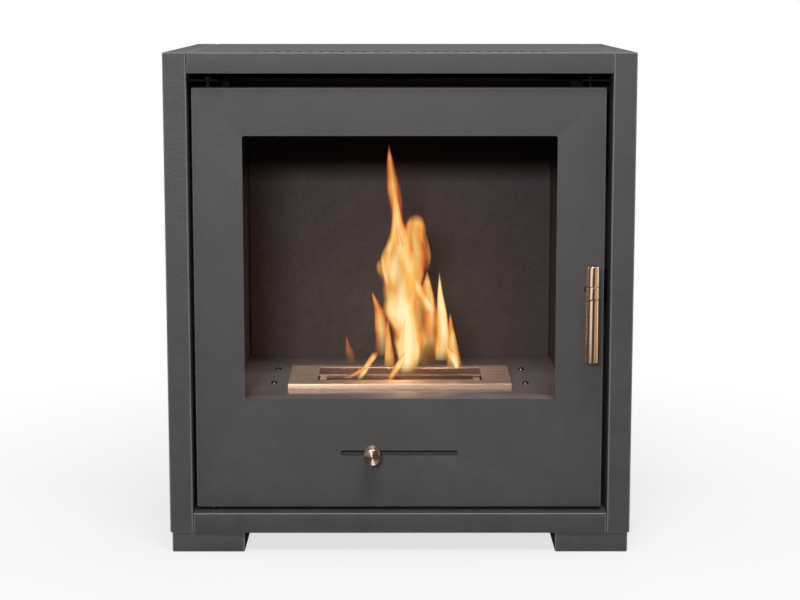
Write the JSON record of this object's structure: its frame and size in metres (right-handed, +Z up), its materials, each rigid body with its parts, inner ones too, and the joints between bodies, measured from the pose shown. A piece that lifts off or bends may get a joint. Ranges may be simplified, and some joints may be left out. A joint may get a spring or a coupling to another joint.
{
  "type": "bioethanol fireplace",
  "caption": "Free-standing sheet-steel bioethanol fireplace with a hinged glass door, a turning bar handle, and a burner whose lid is drawn by a sliding knob.",
  "frame": {"origin": "on the floor under the middle of the footprint, the handle included", "axes": "+Z up, -Y out of the front with the door, +X to the right seen from the front"},
  "size_m": [0.5, 0.374, 0.542],
  "materials": {
    "body_paint": "fine-textured matt stove paint, dark grey",
    "firebox_paint": "matt heat-proof paint, black-brown",
    "stainless": "brushed stainless steel",
    "zinc_steel": "zinc-plated steel",
    "black_steel": "blackened steel",
    "copper_finish": "satin copper-coloured plating on steel",
    "brass_bush": "plain turned brass",
    "clear_glass": "clear heat-proof glass",
    "seal_tape": "flat woven glass-fibre tape, black",
    "washer_plastic": "black plastic",
    "ceramic_fibre": "pressed ceramic fibre, off-white"
  },
  "bodies": {
    "cabinet": {"side_panel_left": "body_paint", "side_panel_right": "body_paint", "top_panel": "body_paint", "bottom_panel": "body_paint", "rear_panel": "body_paint", "foot_front_left": "body_paint", "foot_front_right": "body_paint", "foot_rear_left": "body_paint", "foot_rear_right": "body_paint", "firebox_wall_left": "firebox_paint", "firebox_wall_right": "firebox_paint", "firebox_back": "firebox_paint", "baffle": "firebox_paint", "deck_plate": "stainless", "deck_rail_left": "zinc_steel", "deck_rail_right": "zinc_steel", "hinge_bracket": "firebox_paint", "stop_bracket": "firebox_paint", "hinge_pin_upper": "black_steel", "hinge_pin_lower": "black_steel", "stop_pin": "black_steel", "latch_keeper": "black_steel", "burner_frame": "stainless", "burner_tank": "stainless", "fibre_pad": "ceramic_fibre", "cam_tray": "zinc_steel"},
    "door": {"door_panel": "body_paint", "glass_pane": "clear_glass", "glass_seal": "seal_tape", "glass_clip_upper_left": "zinc_steel", "glass_clip_upper_right": "zinc_steel", "glass_clip_lower_left": "zinc_steel", "glass_clip_lower_right": "zinc_steel", "hinge_bush_upper": "brass_bush", "hinge_bush_lower": "brass_bush", "slide_rail_upper": "zinc_steel", "slide_rail_lower": "zinc_steel", "spindle_bush": "brass_bush"},
    "knob": {"knob": "copper_finish", "knob_washer": "washer_plastic", "knob_stem": "zinc_steel", "knob_carriage": "body_paint"},
    "handle": {"handle_collar": "copper_finish", "handle_grip_upper": "copper_finish", "handle_grip_lower": "copper_finish", "handle_spindle": "zinc_steel", "latch_spacer": "zinc_steel", "latch_tongue": "black_steel", "spindle_nut": "zinc_steel"},
    "cam": {"cam_bar": "zinc_steel", "drive_pin": "zinc_steel"},
    "lid": {"burner_lid": "stainless", "lid_rod_left": "zinc_steel", "lid_rod_right": "zinc_steel"}
  },
  "joints": [
    {"name": "door_hinge", "type": "hinge", "parent": "cabinet", "child": "door", "pos_m": [-0.204, -0.141, 0.276], "axis": [0, 0, -1], "range_deg": [0, 110]},
    {"name": "handle_turn", "type": "hinge", "parent": "door", "child": "handle", "pos_m": [0.204, -0.18, 0.289], "axis": [0, -1, 0], "range_deg": [0, 60]},
    {"name": "knob_slide", "type": "slide", "parent": "door", "child": "knob", "axis": [1, 0, 0], "range_m": [-0.032, 0.09]},
    {"name": "cam_slide", "type": "slide", "parent": "cabinet", "child": "cam", "axis": [1, 0, 0], "range_m": [-0.032, 0.09]},
    {"name": "lid_slide", "type": "slide", "parent": "cabinet", "child": "lid", "axis": [0, -1, 0], "range_m": [-0.0146, 0.0411]}
  ],
  "couplings": [
    {"joint": "cam_slide", "follows": "knob_slide", "ratio": 1},
    {"joint": "lid_slide", "follows": "knob_slide", "ratio": 0.45556}
  ]
}
